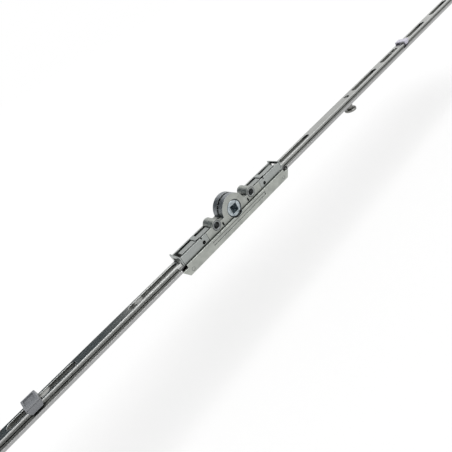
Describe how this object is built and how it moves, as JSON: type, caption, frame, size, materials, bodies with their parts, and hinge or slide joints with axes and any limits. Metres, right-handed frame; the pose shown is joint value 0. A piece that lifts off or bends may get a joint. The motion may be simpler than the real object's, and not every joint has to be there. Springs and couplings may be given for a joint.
{
  "type": "window espagnolette gearbox",
  "caption": "Flat window lock gearbox: square spindle with pinion, rack and sliding drive rail on a faceplate, with a mushroom locking cam.",
  "frame": {"origin": "on the front of the cast tray, straight in front of the spindle axis, at the middle of the bar's width", "axes": "+X along the bar towards the end with the locking cam, +Y away from the handle side, +Z from the faceplate's front to the gear side"},
  "size_m": [0.665, 0.0161, 0.0303],
  "materials": {
    "cast_zinc": "satin zinc die casting",
    "zinc_plated_steel": "satin zinc plate",
    "rail_steel": "rolled, zinc plated",
    "bright_zinc": "bright blue zinc plate",
    "grey_plastic": "moulded",
    "pale_plastic": "moulded"
  },
  "bodies": {
    "case": {"front_housing": "cast_zinc", "near_gear_plate": "cast_zinc", "far_gear_plate": "cast_zinc", "near_wall_left": "zinc_plated_steel", "near_wall_right": "zinc_plated_steel", "far_wall_left": "zinc_plated_steel", "far_wall_right": "zinc_plated_steel", "cover_strip_left": "zinc_plated_steel", "cover_strip_right": "zinc_plated_steel", "end_plate_left": "zinc_plated_steel", "end_plate_right": "zinc_plated_steel", "handle_screw_tube_left": "zinc_plated_steel", "handle_screw_tube_right": "zinc_plated_steel", "faceplate_left": "zinc_plated_steel", "faceplate_right": "zinc_plated_steel", "faceplate_right_end": "zinc_plated_steel", "faceplate_pin_left_near": "zinc_plated_steel", "faceplate_pin_left_far": "zinc_plated_steel", "faceplate_pin_right_near": "zinc_plated_steel", "faceplate_pin_right_far": "zinc_plated_steel"},
    "slide": {"rack_slide": "zinc_plated_steel", "drive_rail_left": "rail_steel", "drive_rail_right": "rail_steel", "cam_pin": "bright_zinc", "guide_block": "grey_plastic", "guide_saddle": "pale_plastic"},
    "spindle": {"spindle_pinion": "bright_zinc"},
    "cam": {"locking_cam": "bright_zinc"}
  },
  "joints": [
    {"name": "drive_slide", "type": "slide", "parent": "case", "child": "slide", "axis": [1, 0, 0], "range_m": [-0.018, 0.018]},
    {"name": "spindle_turn", "type": "hinge", "parent": "case", "child": "spindle", "pos_m": [0, 0, 0.015], "axis": [0, -1, 0], "range_deg": [-90.5, 90.5]},
    {"name": "cam_turn", "type": "hinge", "parent": "slide", "child": "cam", "pos_m": [0.1806, 0, 0], "axis": [0, 0, 1], "continuous": true}
  ],
  "couplings": [
    {"joint": "spindle_turn", "follows": "drive_slide", "rad_per_m": 87.266}
  ]
}
